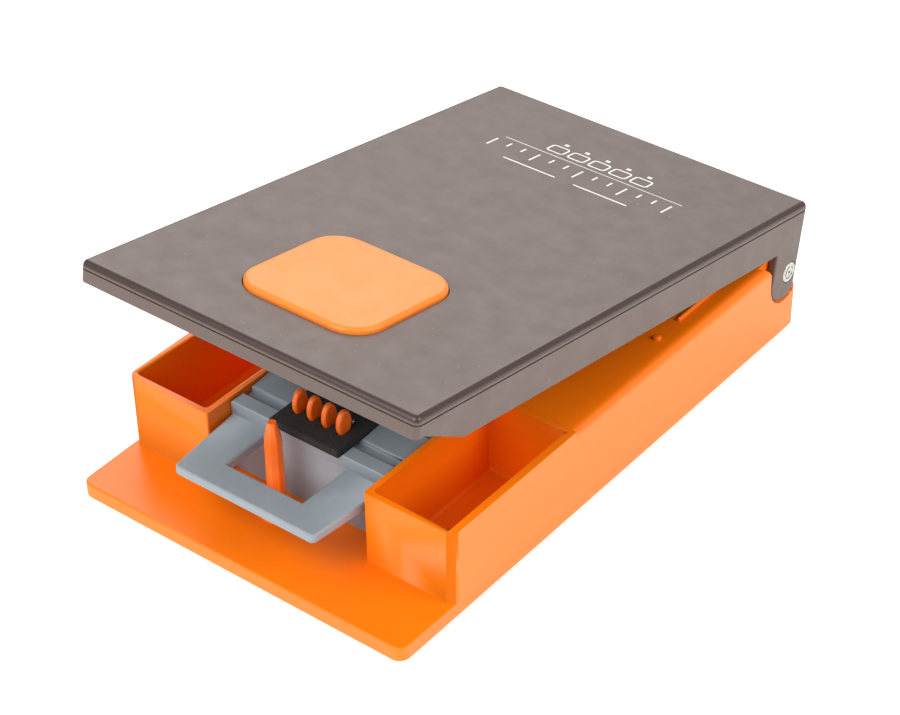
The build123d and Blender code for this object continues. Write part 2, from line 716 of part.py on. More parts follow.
# ---------------------------------------------------------------- press button and presser
block_screw_x = presser_half - block_screw_from_side
block_screw_y = presser_rear_y - block_screw_from_rear
block_screw_spots = [(side * block_screw_x, block_screw_y) for side in (-1, 1)]
with BuildPart() as press_button:
    with BuildSketch(Plane.XY.offset(flange_z)):
        with Locations((0, button_y)):
            RectangleRounded(button_width, button_depth, button_corner)
    extrude(amount=button_z - flange_z)
    fillet(press_button.faces().sort_by(Axis.Z)[-1].edges(), button_edge_radius)
    # flange that holds it under the lid's top
    with BuildSketch(Plane.XY.offset(flange_z)):
        with Locations((0, button_y)):
            RectangleRounded(
                button_width + 2 * button_flange,
                button_depth + 2 * button_flange,
                button_corner + button_flange,
            )
    extrude(amount=lid_roof_z - button_gap - flange_z)
    with BuildSketch(Plane.XY.offset(flange_z)):
        with Locations((0, button_y)):
            RectangleRounded(
                button_width - 2 * button_wall,
                button_depth - 2 * button_wall,
                button_corner - button_wall,
            )
    extrude(amount=button_under_z - flange_z, mode=Mode.SUBTRACT)
    with BuildSketch(Plane.XY.offset(button_under_z)):
        with Locations(*block_screw_spots):
            Circle(screw_shank_radius + screw_clearance)
    extrude(amount=button_skin / 2, mode=Mode.SUBTRACT)
save_on_lid(press_button.part, "press_button")

presser_length = presser_rear_y - presser_y
presser_middle_y = (presser_rear_y + presser_y) / 2
fin_slot_width = fin_thick + 2 * slot_side_gap
fin_slot_length = fin_depth + 2 * slot_end_gap
block_z = presser_z + face_thick
slot_top_z = pad_z + fin_height + fin_bulge + button_travel + slot_side_gap
knife_screw_spots = [
    (presser_middle_y + end * knife_screw_step / 2, block_z + knife_height / 2) for end in (-1, 1)
]
with BuildPart() as presser_block:
    with BuildSketch(Plane.XY.offset(block_z)):
        with Locations((0, presser_middle_y)):
            Rectangle(2 * presser_half, presser_length)
    extrude(amount=button_under_z - block_z)
    with BuildSketch(Plane.XY.offset(block_z)):
        with Locations(*[(x, fin_y) for x in fin_spots]):
            Rectangle(fin_slot_width, fin_slot_length)
    extrude(amount=slot_top_z - block_z, mode=Mode.SUBTRACT)
    with BuildSketch(Plane.XY.offset(block_z)):
        with Locations(*block_screw_spots):
            Circle(screw_head_radius + screw_clearance)
    extrude(amount=screw_head_height + screw_clearance, mode=Mode.SUBTRACT)
    with BuildSketch(Plane.XY.offset(block_z)):
        with Locations(*block_screw_spots):
            Circle(screw_shank_radius + screw_clearance)
    extrude(amount=button_under_z - block_z, mode=Mode.SUBTRACT)
    # side holes for the knives' screws
    for side in (-1, 1):
        with BuildSketch(Plane.YZ.offset(side * presser_half)):
            with Locations(*knife_screw_spots):
                Circle(knife_screw_radius + screw_clearance)
        extrude(amount=-side * knife_screw_length, mode=Mode.SUBTRACT)
save_on_lid(presser_block.part, "presser_block")

with BuildPart() as presser_face:
    with BuildSketch(Plane.XY.offset(presser_z)):
        with Locations((0, presser_middle_y)):
            Rectangle(2 * presser_half, presser_length)
        with Locations(*[(x, fin_y) for x in fin_spots]):
            Rectangle(fin_slot_width, fin_slot_length, mode=Mode.SUBTRACT)
        with Locations(*[(x, pin_row_y) for x in fin_spots]):
            Circle(reg_pin_radius + slot_side_gap, mode=Mode.SUBTRACT)
    extrude(amount=face_thick)
save_on_lid(presser_face.part, "presser_face")

with BuildPart() as block_screws:
    block_screw_length = button_under_z - block_z + button_skin / 3
    add(screw_set(block_screw_spots, block_z + screw_clearance, block_screw_length))
save_on_lid(block_screws.part, "block_screws")

with BuildPart() as trim_knives:
    for side in (-1, 1):
        with BuildSketch(Plane.YZ.offset(side * presser_half)):
            with Locations((presser_middle_y, presser_z - knife_drop + knife_height / 2)):
                Rectangle(presser_length - 2 * knife_inset, knife_height)
            with Locations(*knife_screw_spots):
                Circle(knife_screw_radius + screw_clearance, mode=Mode.SUBTRACT)
        extrude(amount=side * knife_thick)
    # the outer lower edges are ground to a bevel
    lower_edges = trim_knives.edges().filter_by(Axis.Y).group_by(Axis.Z)[0]
    chamfer(lower_edges.group_by(Axis.X)[0] + lower_edges.group_by(Axis.X)[-1], knife_bevel)
save_on_lid(trim_knives.part, "trim_knives")

with BuildPart() as knife_screws:
    for side in (-1, 1):
        with BuildSketch(Plane.YZ.offset(side * (presser_half + knife_thick))):
            with Locations(*knife_screw_spots):
                Circle(knife_screw_head)
        extrude(amount=side * knife_screw_radius)
        with BuildSketch(Plane.YZ.offset(side * (presser_half + knife_thick))):
            with Locations(*knife_screw_spots):
                Circle(knife_screw_radius)
        extrude(amount=-side * knife_screw_length)
save_on_lid(knife_screws.part, "knife_screws")

# ---------------------------------------------------------------- retainer plate and springs
with BuildPart() as button_retainer:
    with BuildSketch(Plane.XY.offset(retainer_z)):
        with Locations((0, button_y)):
            RectangleRounded(2 * retainer_half, 2 * retainer_reach, boss_radius)
        # opening for the presser block, its knives and their screws
        with Locations((0, presser_middle_y)):
            Rectangle(
                2 * (presser_half + knife_thick + knife_screw_radius + button_gap),
                presser_length + 2 * button_gap,
                mode=Mode.SUBTRACT,
            )
        with Locations(*retainer_screw_spots):
            Circle(screw_shank_radius + screw_clearance, mode=Mode.SUBTRACT)
        # notch that clears the guide post
        with Locations((post_x, post_y)):
            Circle(post_radius + slot_end_gap, mode=Mode.SUBTRACT)
    extrude(amount=-retainer_thick)
save_on_lid(button_retainer.part, "button_retainer")

with BuildPart() as retainer_screws:
    head_z = retainer_z - retainer_thick - screw_head_height
    add(screw_set(retainer_screw_spots, head_z, retainer_screw_length))
save_on_lid(retainer_screws.part, "retainer_screws")

with BuildPart() as button_springs:
    coil_radius = spring_radius - spring_wire / 2
    coil_z = retainer_z + spring_wire / 2 + spring_gap
    coil_height = button_under_z - retainer_z - spring_wire - 2 * spring_gap
    for x, y in spring_spots:
        with BuildLine():
            coil = Helix(coil_height / spring_turns, coil_height, coil_radius, center=(x, y, coil_z))
        with BuildSketch(Plane(origin=coil @ 0, z_dir=coil % 0)):
            Circle(spring_wire / 2)
        sweep(path=coil)
save_on_lid(button_springs.part, "button_springs")
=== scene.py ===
"""Looks of a tape splicer for small-gauge cine film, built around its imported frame.

The lid's pieces are worked on as they lie with the lid shut, and are then opened about the
hinge. Every size is in metres, in the frame's own axes: +X right, +Y back, +Z up.
"""

import json
import math

import bmesh
import bpy
from mathutils import Matrix, Vector


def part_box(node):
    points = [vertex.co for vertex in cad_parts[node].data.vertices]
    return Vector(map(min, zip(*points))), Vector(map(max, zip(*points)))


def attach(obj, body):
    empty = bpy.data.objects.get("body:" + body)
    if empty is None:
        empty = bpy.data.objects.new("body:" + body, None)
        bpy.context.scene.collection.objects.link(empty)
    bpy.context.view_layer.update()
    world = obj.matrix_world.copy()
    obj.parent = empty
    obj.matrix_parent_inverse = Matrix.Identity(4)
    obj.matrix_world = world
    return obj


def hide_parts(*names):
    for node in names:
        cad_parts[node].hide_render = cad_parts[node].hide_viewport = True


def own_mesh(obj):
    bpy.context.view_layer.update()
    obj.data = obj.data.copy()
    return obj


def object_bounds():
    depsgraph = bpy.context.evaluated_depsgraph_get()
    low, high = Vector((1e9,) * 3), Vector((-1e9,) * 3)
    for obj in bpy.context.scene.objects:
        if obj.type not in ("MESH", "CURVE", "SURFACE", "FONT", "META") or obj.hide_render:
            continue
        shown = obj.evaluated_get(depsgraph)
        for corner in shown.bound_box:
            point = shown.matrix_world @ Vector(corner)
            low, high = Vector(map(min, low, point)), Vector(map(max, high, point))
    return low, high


bl_info = {
    "name": "Film tape splicer",
    "version": (1, 0, 0),
    "blender": (4, 5, 0),
    "location": "View3D > Sidebar > Splicer",
    "description": "Models and finishes the pieces of a film tape splicer around its frame",
    "category": "Object",
}

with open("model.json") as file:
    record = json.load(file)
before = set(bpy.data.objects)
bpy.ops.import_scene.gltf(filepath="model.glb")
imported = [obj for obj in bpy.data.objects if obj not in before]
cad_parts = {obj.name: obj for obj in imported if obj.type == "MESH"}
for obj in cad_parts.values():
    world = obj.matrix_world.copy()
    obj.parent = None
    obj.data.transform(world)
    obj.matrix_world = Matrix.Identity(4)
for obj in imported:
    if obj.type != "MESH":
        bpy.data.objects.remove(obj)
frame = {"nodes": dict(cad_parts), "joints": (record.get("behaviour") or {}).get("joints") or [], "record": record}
cad_low, cad_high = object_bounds()

MM = 0.001
WELD = 1e-6                        # corners nearer than this are one corner
FLAT = math.radians(0.6)           # faces that meet at less than this are one face
SHARP = math.radians(32)           # edges that turn more than this get rounded
SMOOTH = math.radians(38)          # edges that turn less than this are shaded smooth
NEAR = 0.3 * MM                    # places this near to each other count as the same
LEVEL = 0.05 * MM                  # heights this near to each other are one level
TOP_LEVEL = 0.02 * MM              # the button's flat top is this flat
UPRIGHT = 0.95                     # an edge with this share of its length along Z stands up
FACING_UP = 0.99                   # a face whose normal rises this much looks straight up

# edges shorter than this stay sharp on these nodes
SHORT_EDGE = {
    "splice_pad": 1.5 * MM,
    "guide_post": 1 * MM,
    "presser_block": 6 * MM,
    "button_retainer": 3 * MM,
}

JOINTS = {joint["name"]: joint for joint in frame["joints"]}
LID_JOINT = JOINTS["lid_hinge"]
HINGE = Vector(LID_JOINT["pos_m"])
LID_AJAR = -math.radians(LID_JOINT["range_deg"][0])
OPEN_LID = Matrix.Rotation(-LID_AJAR, 3, "X")
SHUT_LID = Matrix.Rotation(LID_AJAR, 3, "X")


def shut_box(node):
    """A lid node's lowest and highest corners with the lid shut."""
    places = [HINGE + SHUT_LID @ (v.co - HINGE) for v in frame["nodes"][node].data.vertices]
    low = Vector([min(p[axis] for p in places) for axis in range(3)])
    high = Vector([max(p[axis] for p in places) for axis in range(3)])
    return low, high


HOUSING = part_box("base_housing")
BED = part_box("film_bed")
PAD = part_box("splice_pad")
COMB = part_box("guide_comb")
LID = shut_box("lid_shell")
BUTTON = shut_box("press_button")


# ------------------------------------------------------------------ what a user may change
def length(name, description, default, low=0.0):
    """One size in metres for a property group."""
    return bpy.props.FloatProperty(
        name=name, description=description, default=default, min=low, unit="LENGTH", precision=5
    )


def tint(name, description, default):
    """One colour for a property group."""
    return bpy.props.FloatVectorProperty(
        name=name, description=description, default=default, size=3, subtype="COLOR", min=0, max=1
    )


def turn(name, description, default):
    """One angle for a property group, given in degrees."""
    return bpy.props.FloatProperty(
        name=name, description=description, default=math.radians(default), subtype="ANGLE"
    )


class SplicerSizes(bpy.types.PropertyGroup):
    """Roundings and small sizes of the mouldings."""

    rim_round: length("Rim rounding", "Rounding of the bins' rims and the apron", 0.45 * MM)
    fine_round: length("Fine rounding", "Rounding of all other moulded edges", 0.18 * MM)
    foot_round: length("Foot fillet", "Fillet where the bins meet the apron", 0.8 * MM)
    bin_round: length("Bin corner fillet", "Fillet in the corners inside the bins", 0.9 * MM)
    tongue_round: length("Tongue rounding", "Rounding of the tongue's edges", 0.55 * MM)
    track_round: length("Track rounding", "Rounding of the film track's ribs", 0.4 * MM)
    skirt_round: length("Skirt rounding", "Rounding of the lid skirt's lower edge", 0.35 * MM)
    button_dome: length("Button dome", "Rise of the button's middle over its rim", 0.35 * MM)
    pad_round: length("Pad rounding", "Rounding of the pad's cut edges", 0.22 * MM)
    fin_round: length("Fin rounding", "Rounding of the guide fins' noses", 0.5 * MM)
    post_round: length("Post rounding", "Rounding of the post's facets", 0.22 * MM)
    pin_round: length("Pin rounding", "Chamfer of the hinge pins' heads", 0.14 * MM)
    print_thick: length("Print thickness", "Height of the printed mark", 0.012 * MM)


class SplicerColours(bpy.types.PropertyGroup):
    """Base colours of the materials."""

    housing: tint("Housing", "Orange of the housing", (0.97, 0.185, 0.002))
    button: tint("Button", "Orange of the press button", (0.93, 0.22, 0.012))
    guide: tint("Guides", "Orange of the fins and the post", (0.88, 0.15, 0.008))
    lid: tint("Lid", "Grey-brown of the lid", (0.112, 0.077, 0.064))
    # painted shade: this darker brown on the lid's rounded top edge stands in for the shade there
    lid_edge_shade: tint("Lid edge", "Dark brown of the lid's polished edge", (0.048, 0.026, 0.02))
    bed: tint("Film bed", "Slate grey of the film bed", (0.25, 0.29, 0.32))
    pad: tint("Pad", "Black of the splice pad", (0.018, 0.017, 0.018))
    steel: tint("Steel", "Colour of the steel pieces", (0.5, 0.5, 0.46))
    brass: tint("Brass", "Colour of the registration pins", (0.8, 0.6, 0.3))
    mark: tint("Print", "Colour of the printed mark", (0.8, 0.79, 0.76))
    floor: tint("Floor", "Colour of the table", (0.93, 0.93, 0.92))


class SplicerStage(bpy.types.PropertyGroup):
    """Camera and light."""

    azimuth: turn("Azimuth", "Camera's direction round the object", 38.62)
    elevation: turn("Elevation", "Camera's height above the horizon", 36.575)
    roll: turn("Roll", "Camera's turn about its line of sight", -0.99)
    lens: bpy.props.FloatProperty(
        name="Lens", description="Focal length in millimetres", default=100.96, min=1
    )
    spot: bpy.props.FloatVectorProperty(
        name="Camera place", description="Where the camera stands", subtype="TRANSLATION",
        default=(0.26953, -0.33788, 0.33400), size=3, unit="LENGTH",
    )
    sky: bpy.props.FloatProperty(
        name="Sky", description="Strength of the light from all round", default=0.6, min=0
    )
    glow: bpy.props.FloatProperty(
        name="Table glow", description="Strength of the light from the table", default=0.4, min=0
    )
    key: bpy.props.FloatProperty(
        name="Key light", description="Power of the large soft light in watts",
        default=4.0, min=0,
    )
    fill: bpy.props.FloatProperty(
        name="Fill light", description="Power of the light from the right in watts",
        default=4.5, min=0,
    )
    front: bpy.props.FloatProperty(
        name="Front light", description="Power of the light from the front in watts",
        default=7.0, min=0,
    )


# ------------------------------------------------------------------ shared making of pieces
def frame_copy(node, shut=False):
    """A merged copy of a CAD node, with its flat faces whole. A lid node can be shut."""
    bm = bmesh.new()
    bm.from_mesh(frame["nodes"][node].data)
    bmesh.ops.remove_doubles(bm, verts=bm.verts, dist=WELD)
    bmesh.ops.dissolve_limit(bm, angle_limit=FLAT, verts=bm.verts, edges=bm.edges)
    if shut:
        bmesh.ops.rotate(bm, cent=HINGE, matrix=SHUT_LID, verts=bm.verts)
    bm.normal_update()
    return bm


def middle(edge):
    """The middle of an edge."""
    return (edge.verts[0].co + edge.verts[1].co) / 2


def sharp_edges(bm, wanted):
    """The edges that turn sharply and that the test wants."""
    return [
        edge
        for edge in bm.edges
        if len(edge.link_faces) == 2 and edge.calc_face_angle() > SHARP and wanted(edge)
    ]


def round_edges(bm, width, wanted, steps=3):
    """Rounds the sharp edges that the test wants."""
    edges = sharp_edges(bm, wanted)
    if not edges:
        raise RuntimeError("no edges to round")
    bmesh.ops.bevel(
        bm, geom=edges, offset=width, offset_type="OFFSET", affect="EDGES", segments=steps,
        profile=0.5, material=-1, clamp_overlap=False, loop_slide=True,
    )
    bm.normal_update()


def make_piece(bm, name, body, material, replaces=(), shut=False):
    """Turns a bmesh into a finished piece that rides on a body."""
    if shut:
        bmesh.ops.rotate(bm, cent=HINGE, matrix=OPEN_LID, verts=bm.verts)
    mesh = bpy.data.meshes.new(name)
    bm.to_mesh(mesh)
    bm.free()
    mesh.shade_smooth()
    mesh.set_sharp_from_angle(angle=SMOOTH)
    piece = bpy.data.objects.new(name, mesh)
    bpy.context.scene.collection.objects.link(piece)
    even = piece.modifiers.new("even_shading", "WEIGHTED_NORMAL")
    even.keep_sharp = True
    even.weight = 80
    mesh.materials.append(material)
    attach(piece, body)
    if replaces:
        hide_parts(*replaces)
    return piece


def paint(node, material):
    """Gives a CAD node a material."""
    mesh = frame["nodes"][node].data
    mesh.materials.clear()
    mesh.materials.append(material)


# ------------------------------------------------------------------ materials
class Finish:
    """A material with one Principled shader and patterns on Object coordinates."""

    def __init__(self, name, colour, roughness, metallic=0.0):
        self.material = bpy.data.materials.new(name)
        self.material.use_nodes = True
        self.tree = self.material.node_tree
        self.shader = self.tree.nodes["Principled BSDF"]
        self.shader.inputs["Metallic"].default_value = metallic
        self.place = self.tree.nodes.new("ShaderNodeTexCoord").outputs["Object"]
        self.colour = tuple(colour)
        self.roughness = roughness
        self.bump_end = None

    def node(self, kind, **values):
        """Adds a node and sets its inputs or its own values."""
        made = self.tree.nodes.new(kind)
        for key, value in values.items():
            if key in made.inputs:
                made.inputs[key].default_value = value
            else:
                setattr(made, key, value)
        return made

    def link(self, out, into):
        """Links two sockets."""
        self.tree.links.new(out, into)

    def noise(self, size, detail=3.0, rough=0.55, stretch=None, seed=0.0):
        """A noise whose features are about that size in metres. stretch lengthens it."""
        turned = self.node("ShaderNodeMapping")
        turned.inputs["Location"].default_value = (seed, seed / 2, seed / 3)
        turned.inputs["Scale"].default_value = stretch or (1, 1, 1)
        self.link(self.place, turned.inputs["Vector"])
        made = self.node("ShaderNodeTexNoise", Scale=1 / size, Detail=detail, Roughness=rough)
        self.link(turned.outputs["Vector"], made.inputs["Vector"])
        return made.outputs["Fac"]

    def spread(self, fac, low, high, to_low=0.0, to_high=1.0):
        """Maps a range of a pattern to another range."""
        made = self.node("ShaderNodeMapRange")
        limits = {"From Min": low, "From Max": high, "To Min": to_low, "To Max": to_high}
        for key, value in limits.items():
            made.inputs[key].default_value = value
        self.link(fac, made.inputs["Value"])
        return made.outputs["Result"]

    def tones(self, fac, dark, light):
        """A colour that varies between dark and light times the base colour."""
        made = self.node("ShaderNodeMix", data_type="RGBA")
        made.inputs[6].default_value = (*[min(1, c * dark) for c in self.colour], 1)
        made.inputs[7].default_value = (*[min(1, c * light) for c in self.colour], 1)
        self.link(fac, made.inputs[0])
        return made.outputs[2]

    def over(self, fac, below, colour):
        """Lays a colour over another where fac is high."""
        made = self.node("ShaderNodeMix", data_type="RGBA")
        self.link(below, made.inputs[6])
        made.inputs[7].default_value = (*colour, 1)
        self.link(fac, made.inputs[0])
        return made.outputs[2]

    def add(self, one, other, factor=1.0):
        """Adds factor times one pattern to another."""
        made = self.node("ShaderNodeMath", operation="MULTIPLY_ADD")
        self.link(one, made.inputs[0])
        made.inputs[1].default_value = factor
        self.link(other, made.inputs[2])
        return made.outputs[0]

    def set_colour(self, socket):
        """Gives the shader its base colour."""
        self.link(socket, self.shader.inputs["Base Color"])

    def set_roughness(self, fac, swing):
        """Lets the roughness vary with a pattern."""
        result = self.spread(fac, 0.3, 0.7, self.roughness - swing, self.roughness + swing)
        self.link(result, self.shader.inputs["Roughness"])

    def bump(self, fac, height, strength=1.0):
        """Adds relief of that height in metres."""
        made = self.node("ShaderNodeBump", Strength=strength, Distance=height)
        self.link(fac, made.inputs["Height"])
        if self.bump_end:
            self.link(self.bump_end, made.inputs["Normal"])
        self.bump_end = made.outputs["Normal"]
        self.link(self.bump_end, self.shader.inputs["Normal"])


def moulded(
    name, colour, roughness, grain, relief, tone=(0.95, 1.04), specular=0.5, specks=0.0, wear=0.06
):
    """Injection-moulded plastic: grain, faint flow marks, handling scratches and dust."""
    made = Finish(name, colour, roughness)
    made.shader.inputs["Specular IOR Level"].default_value = specular
    flow = made.noise(14 * MM, 2, stretch=(1, 0.35, 1))
    blotch = made.noise(3.2 * MM, 4, seed=0.31)
    mixed = made.add(blotch, flow, 0.6)
    base = made.tones(made.spread(mixed, 0.55, 1.05), *tone)
    scratch = made.noise(0.42 * MM, 2, 0.7, stretch=(1, 0.05, 1), seed=0.57)
    lines = made.spread(scratch, 0.68, 0.78)
    if specks:
        dust = made.noise(0.75 * MM, 1, 0.4, seed=0.93)
        spots = made.spread(dust, 0.775, 0.81, 0.0, specks)
        base = made.over(spots, base, (0.62, 0.6, 0.57))
    made.set_colour(base)
    rough = made.add(lines, made.noise(5 * MM, 5, seed=0.77), 0.35)
    made.set_roughness(rough, wear)
    made.bump(made.noise(grain, 2, 0.6, seed=0.13), relief)
    made.bump(made.noise(9 * MM, 1, seed=0.41), 0.03 * MM, 0.15)
    return made.material


def metal(name, colour, roughness, stretch, relief):
    """Metal with fine drawn or turned lines along one direction."""
    made = Finish(name, colour, roughness, 1.0)
    lines = made.noise(0.22 * MM, 3, 0.6, stretch=stretch)
    stain = made.noise(1.7 * MM, 4, seed=0.23)
    made.set_colour(made.tones(made.add(stain, lines, 0.8), 0.82, 1.12))
    made.set_roughness(lines, 0.1)
    made.bump(lines, relief)
    return made.material


def turned(name, colour, roughness, centre):
    """Metal turned on a lathe about an axis along X: rings round the centre."""
    made = Finish(name, colour, roughness, 1.0)
    flat = made.node("ShaderNodeMapping")
    flat.inputs["Location"].default_value = (0, -centre[1], -centre[2])
    flat.inputs["Scale"].default_value = (0, 1, 1)
    made.link(made.place, flat.inputs["Vector"])
    reach = made.node("ShaderNodeVectorMath", operation="LENGTH")
    made.link(flat.outputs["Vector"], reach.inputs[0])
    wave = made.node("ShaderNodeMath", operation="SINE")
    tight = made.node("ShaderNodeMath", operation="MULTIPLY")
    tight.inputs[1].default_value = 2 * math.pi / (0.16 * MM)
    made.link(reach.outputs["Value"], tight.inputs[0])
    made.link(tight.outputs[0], wave.inputs[0])
    stain = made.noise(1.1 * MM, 4, seed=0.61)
    made.set_colour(made.tones(made.spread(stain, 0.3, 0.7), 0.78, 1.12))
    made.set_roughness(stain, 0.09)
    made.bump(wave.outputs[0], 0.004 * MM)
    made.bump(stain, 0.02 * MM, 0.5)
    return made.material


def rubber(name, colour, grain, relief, roughness=0.85):
    """Matte rubber with a rough open surface."""
    made = Finish(name, colour, roughness)
    made.shader.inputs["Specular IOR Level"].default_value = 0.3
    cell = made.node("ShaderNodeTexVoronoi", Scale=1 / grain)
    made.link(made.place, cell.inputs["Vector"])
    fuzz = made.noise(grain / 2, 4, 0.7)
    mixed = made.add(cell.outputs["Distance"], fuzz, 0.7)
    made.set_colour(made.tones(made.spread(mixed, 0.5, 1.3), 0.6, 2.3))
    made.set_roughness(fuzz, 0.08)
    made.bump(mixed, relief)
    return made.material


def make_finishes():
    """Every material of the object, by the piece's plain name."""
    c = bpy.context.scene.splicer_colours
    made = {
        "housing": moulded(
            "housing_orange_gloss", c.housing, 0.3, 0.35 * MM, 0.0015 * MM, tone=(0.98, 1.01),
            specular=0.36, wear=0.025,
        ),
        "button": moulded("button_orange_satin", c.button, 0.4, 0.22 * MM, 0.006 * MM),
        "guide": moulded("guide_orange_satin", c.guide, 0.36, 0.25 * MM, 0.004 * MM),
        "lid": moulded(
            "lid_brown_satin", c.lid, 0.46, 0.2 * MM, 0.008 * MM, tone=(0.97, 1.03),
            specular=0.45, specks=0.16,
        ),
        # painted shade: the lid's rounded top edge is darker brown, with a glossier finish
        "lid_edge_shade": moulded(
            "lid_edge_gloss_painted_shade", c.lid_edge_shade, 0.27, 0.3 * MM, 0.003 * MM, tone=(0.96, 1.04),
            wear=0.02,
        ),
        "bed": moulded("bed_grey_satin", c.bed, 0.42, 0.25 * MM, 0.005 * MM),
        "dark": moulded("cover_dark_grain", (0.012, 0.011, 0.011), 0.55, 0.3 * MM, 0.012 * MM),
        "retainer": moulded("retainer_grey_plain", (0.05, 0.05, 0.052), 0.5, 0.3 * MM, 0.006 * MM),
        "block": moulded("presser_grey_plain", (0.09, 0.09, 0.092), 0.48, 0.3 * MM, 0.006 * MM),
        "pad": rubber("pad_black_rubber", c.pad, 0.32 * MM, 0.06 * MM),
        "face": rubber("presser_face_rubber", (0.03, 0.03, 0.032), 0.25 * MM, 0.03 * MM),
        "sheet": rubber("sheet_foam_rubber", (0.014, 0.014, 0.014), 0.5 * MM, 0.06 * MM, 0.9),
        "pin": turned("hinge_pin_turned", c.steel, 0.3, HINGE),
        "screw": metal("screw_zinc", (0.6, 0.6, 0.57), 0.3, (1, 1, 1), 0.004 * MM),
        "spring": metal("spring_wire", (0.5, 0.5, 0.5), 0.28, (1, 1, 0.2), 0.003 * MM),
        "knife": metal("knife_ground_steel", (0.7, 0.71, 0.72), 0.22, (0.06, 1, 1), 0.002 * MM),
        "brass": metal("pin_turned_brass", c.brass, 0.28, (1, 1, 0.15), 0.003 * MM),
    }
    mark = Finish("mark_white_print", c.mark, 0.5)
    thin = mark.noise(0.5 * MM, 4, 0.7)
    base = mark.tones(mark.spread(thin, 0.35, 0.6), 0.86, 1.05)
    gone = mark.spread(mark.noise(0.22 * MM, 3, 0.6, seed=0.4), 0.66, 0.72, 0, 0.7)
    mark.set_colour(mark.over(gone, base, tuple(c.lid)))
    mark.set_roughness(thin, 0.08)
    mark.bump(thin, 0.003 * MM)
    made["mark"] = mark.material
    return made


FINISHES = {}


# ------------------------------------------------------------------ places read from the frame
OPENINGS = {hole["name"]: hole for hole in frame["record"]["physics"]["openings"]}
RIM_Z = HOUSING[1].z
APRON_Z = BED[0].z
BIN_LOW = Vector(OPENINGS["bin_right"]["box_m"][0])
BIN_HIGH = Vector(OPENINGS["bin_right"]["box_m"][1])
BIN_FRONT_Y = BIN_LOW.y - 2 * MM   # just before the bins' front walls
BIN_CORNER = 1.5 * MM              # the bins' front corners lie this near to that line
TONGUE_ABOVE = 8 * MM              # the tongue is this far above the bed's underside
TRACK_EDGE = 2 * MM                # edges of the film track shorter than this stay sharp
SHANK = 0.55                       # depth of a fin's hidden shank beside the blade's
BLADE_SINK = 1.2 * MM              # a fin's blade starts this far below the pad's top
BLADE_SIDES = 48                   # sides of a blade's round outline
PIN_RIM = 0.1 * MM                 # the rim of a pin's head lies this near to its radius
PIN_SEAT = 4 * MM                  # the ears' edges round the pins are nearer than this
LID_WALL = 2.2 * MM                # the skirt's outside edges lie within this of the lid's sides
LID_CROWN = 3 * MM                 # the lid's edge and groove are within this of its top
EAR_REACH = 9 * MM                 # the ears start this far in front of the hinge
EAR_FACE = 1 * MM                  # the ears' outer faces are within this of the lid's sides
EDGE_LEAN = (0.06, 0.998)          # rise of the normals on the lid's rounded edge
DOME_STRIPS = 14                   # strips across the button's domed top


def near(one, other, reach=NEAR):
    """True if two numbers are about the same place."""
    return abs(one - other) < reach


def upright(edge):
    """True for an edge that stands up."""
    way = edge.verts[1].co - edge.verts[0].co
    return abs(way.z) > UPRIGHT * way.length


def inside_bin(place):
    """True for a place on the inside of a bin."""
    return (
        BIN_LOW.x - NEAR < abs(place.x) < BIN_HIGH.x + NEAR
        and BIN_LOW.y - NEAR < place.y < BIN_HIGH.y + NEAR
    )


def fin_places():
    """Where the guide fins stand along X, and how thick they are, read from the comb's tips."""
    tips = sorted(
        v.co.x for v in frame["nodes"]["guide_comb"].data.vertices if near(v.co.z, COMB[1].z, LEVEL)
    )
    faces = [tips[0]]
    for place in tips:
        if place - faces[-1] > NEAR:
            faces.append(place)
    lefts, rights = faces[0::2], faces[1::2]
    return [(a + b) / 2 for a, b in zip(lefts, rights)], rights[0] - lefts[0]


def rounded_copy(node, width, shut=False):
    """A copy of a CAD node with all its sharp edges rounded but the short ones."""
    bm = frame_copy(node, shut)
    round_edges(bm, width, lambda edge: edge.calc_length() > SHORT_EDGE[node])
    return bm


def slab(bm, low, high):
    """Adds a block between two corners and returns its corners."""
    low, high = Vector(low), Vector(high)
    made = bmesh.ops.create_cube(bm, size=1.0)["verts"]
    bmesh.ops.scale(bm, vec=high - low, verts=made)
    bmesh.ops.translate(bm, vec=(low + high) / 2, verts=made)
    return made


# ------------------------------------------------------------------ operators
class SplicerHousing(bpy.types.Operator):
    """Makes the orange housing with its apron, bins and deck"""

    bl_idname = "splicer.housing"
    bl_label = "Housing"

    def execute(self, context):
        size = context.scene.splicer_sizes
        bm = frame_copy("base_housing")
        round_edges(
            bm, size.bin_round,
            lambda e: inside_bin(middle(e)) and (upright(e) or near(middle(e).z, BIN_LOW.z)), 4,
        )
        round_edges(
            bm, size.rim_round,
            lambda e: near(middle(e).z, RIM_Z, LEVEL)
            or (near(middle(e).z, APRON_Z, LEVEL) and middle(e).y < BIN_FRONT_Y)
            or (upright(e) and near(middle(e).y, BIN_FRONT_Y, BIN_CORNER)),
        )
        make_piece(bm, "housing", "base", FINISHES["housing"], ["base_housing"])
        return {"FINISHED"}


class SplicerUnderside(bpy.types.Operator):
    """Finishes the floor plate, its screws and the non-slip sheet"""

    bl_idname = "splicer.underside"
    bl_label = "Underside"

    def execute(self, context):
        paint("bottom_cover", FINISHES["dark"])
        paint("non_slip_sheet", FINISHES["sheet"])
        for node in ("cover_screws", "bed_screws"):
            paint(node, FINISHES["screw"])
        return {"FINISHED"}


class SplicerFilmBed(bpy.types.Operator):
    """Makes the grey film bed with its tongue and track"""

    bl_idname = "splicer.film_bed"
    bl_label = "Film bed"

    def execute(self, context):
        size = context.scene.splicer_sizes
        bm = frame_copy("film_bed")
        round_edges(
            bm, size.tongue_round,
            lambda e: middle(e).y < PAD[0].y and middle(e).z > BED[0].z + TONGUE_ABOVE,
        )
        round_edges(
            bm, size.track_round,
            lambda e: middle(e).z > PAD[0].z + NEAR and e.calc_length() > TRACK_EDGE,
        )
        make_piece(bm, "film_bed_moulding", "base", FINISHES["bed"], ["film_bed"])
        return {"FINISHED"}


